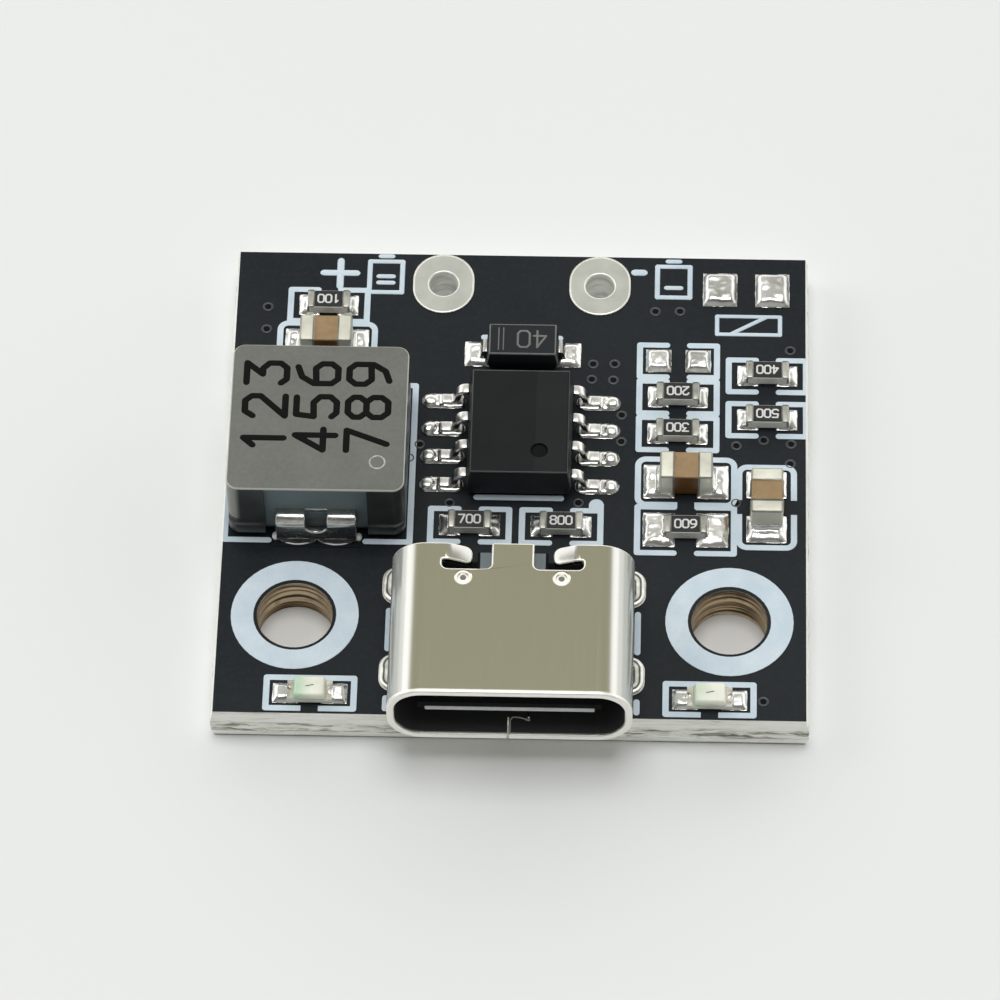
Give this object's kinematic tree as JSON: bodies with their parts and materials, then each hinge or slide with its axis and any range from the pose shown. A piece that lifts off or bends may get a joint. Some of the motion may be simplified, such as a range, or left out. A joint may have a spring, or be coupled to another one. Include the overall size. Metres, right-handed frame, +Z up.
{
  "type": "lithium battery charger module",
  "caption": "Small black circuit board with a metal power socket, moulded inductor, charger chip, small soldered parts, two mounting holes and pads for a battery.",
  "frame": {"origin": "middle of the board's underside, halfway between its side edges and between its front and back edges", "axes": "+X to the right seen from the socket's side, +Y from the socket towards the battery pads, +Z up out of the face that carries the parts"},
  "size_m": [0.022, 0.0219, 0.0048],
  "materials": {
    "laminate": "matte, rough at the broken edge",
    "solder_mask": "satin",
    "print": "matte",
    "tinned_copper": "satin",
    "solder": "bright",
    "shell_steel": "satin",
    "socket_plastic": "matte",
    "contact_metal": "satin",
    "inductor_body": "satin",
    "terminals": "bright",
    "moulded_epoxy": "matte",
    "leads": "satin",
    "resistor_ceramic": "matte",
    "resistor_glaze": "satin",
    "capacitor_ceramic": "satin",
    "end_caps": "satin",
    "lamp_base": "matte",
    "lamp_lens": "glossy",
    "lamp_ends": "satin"
  },
  "bodies": {
    "root": {"board_core": "laminate", "solder_mask_top": "solder_mask", "solder_mask_bottom": "solder_mask", "silkscreen_print": "print", "battery_pad_positive": "tinned_copper", "battery_pad_negative": "tinned_copper", "sensor_pads": "tinned_copper", "component_lands": "tinned_copper", "spare_lands": "tinned_copper", "socket_slot_lands": "tinned_copper", "socket_shell": "shell_steel", "socket_insulator": "socket_plastic", "socket_contacts": "contact_metal", "socket_solder": "solder", "inductor_body": "inductor_body", "inductor_terminal_front": "terminals", "inductor_terminal_rear": "terminals", "inductor_solder": "solder", "chip_body": "moulded_epoxy", "chip_leads_left": "leads", "chip_leads_right": "leads", "chip_solder": "solder", "diode_body": "moulded_epoxy", "diode_leads": "leads", "diode_solder": "solder", "resistor_1_body": "resistor_ceramic", "resistor_1_ends": "end_caps", "resistor_2_body": "resistor_ceramic", "resistor_2_ends": "end_caps", "resistor_3_body": "resistor_ceramic", "resistor_3_ends": "end_caps", "resistor_4_body": "resistor_ceramic", "resistor_4_ends": "end_caps", "resistor_5_body": "resistor_ceramic", "resistor_5_ends": "end_caps", "resistor_6_body": "resistor_ceramic", "resistor_6_ends": "end_caps", "resistor_7_body": "resistor_ceramic", "resistor_7_ends": "end_caps", "resistor_8_body": "resistor_ceramic", "resistor_8_ends": "end_caps", "resistor_glaze": "resistor_glaze", "resistor_solder": "solder", "capacitor_1_body": "capacitor_ceramic", "capacitor_1_ends": "end_caps", "capacitor_2_body": "capacitor_ceramic", "capacitor_2_ends": "end_caps", "capacitor_3_body": "capacitor_ceramic", "capacitor_3_ends": "end_caps", "capacitor_solder": "solder", "lamp_base_left": "lamp_base", "lamp_lens_left": "lamp_lens", "lamp_ends_left": "lamp_ends", "lamp_base_right": "lamp_base", "lamp_lens_right": "lamp_lens", "lamp_ends_right": "lamp_ends", "lamp_solder": "solder"}
  },
  "joints": []
}
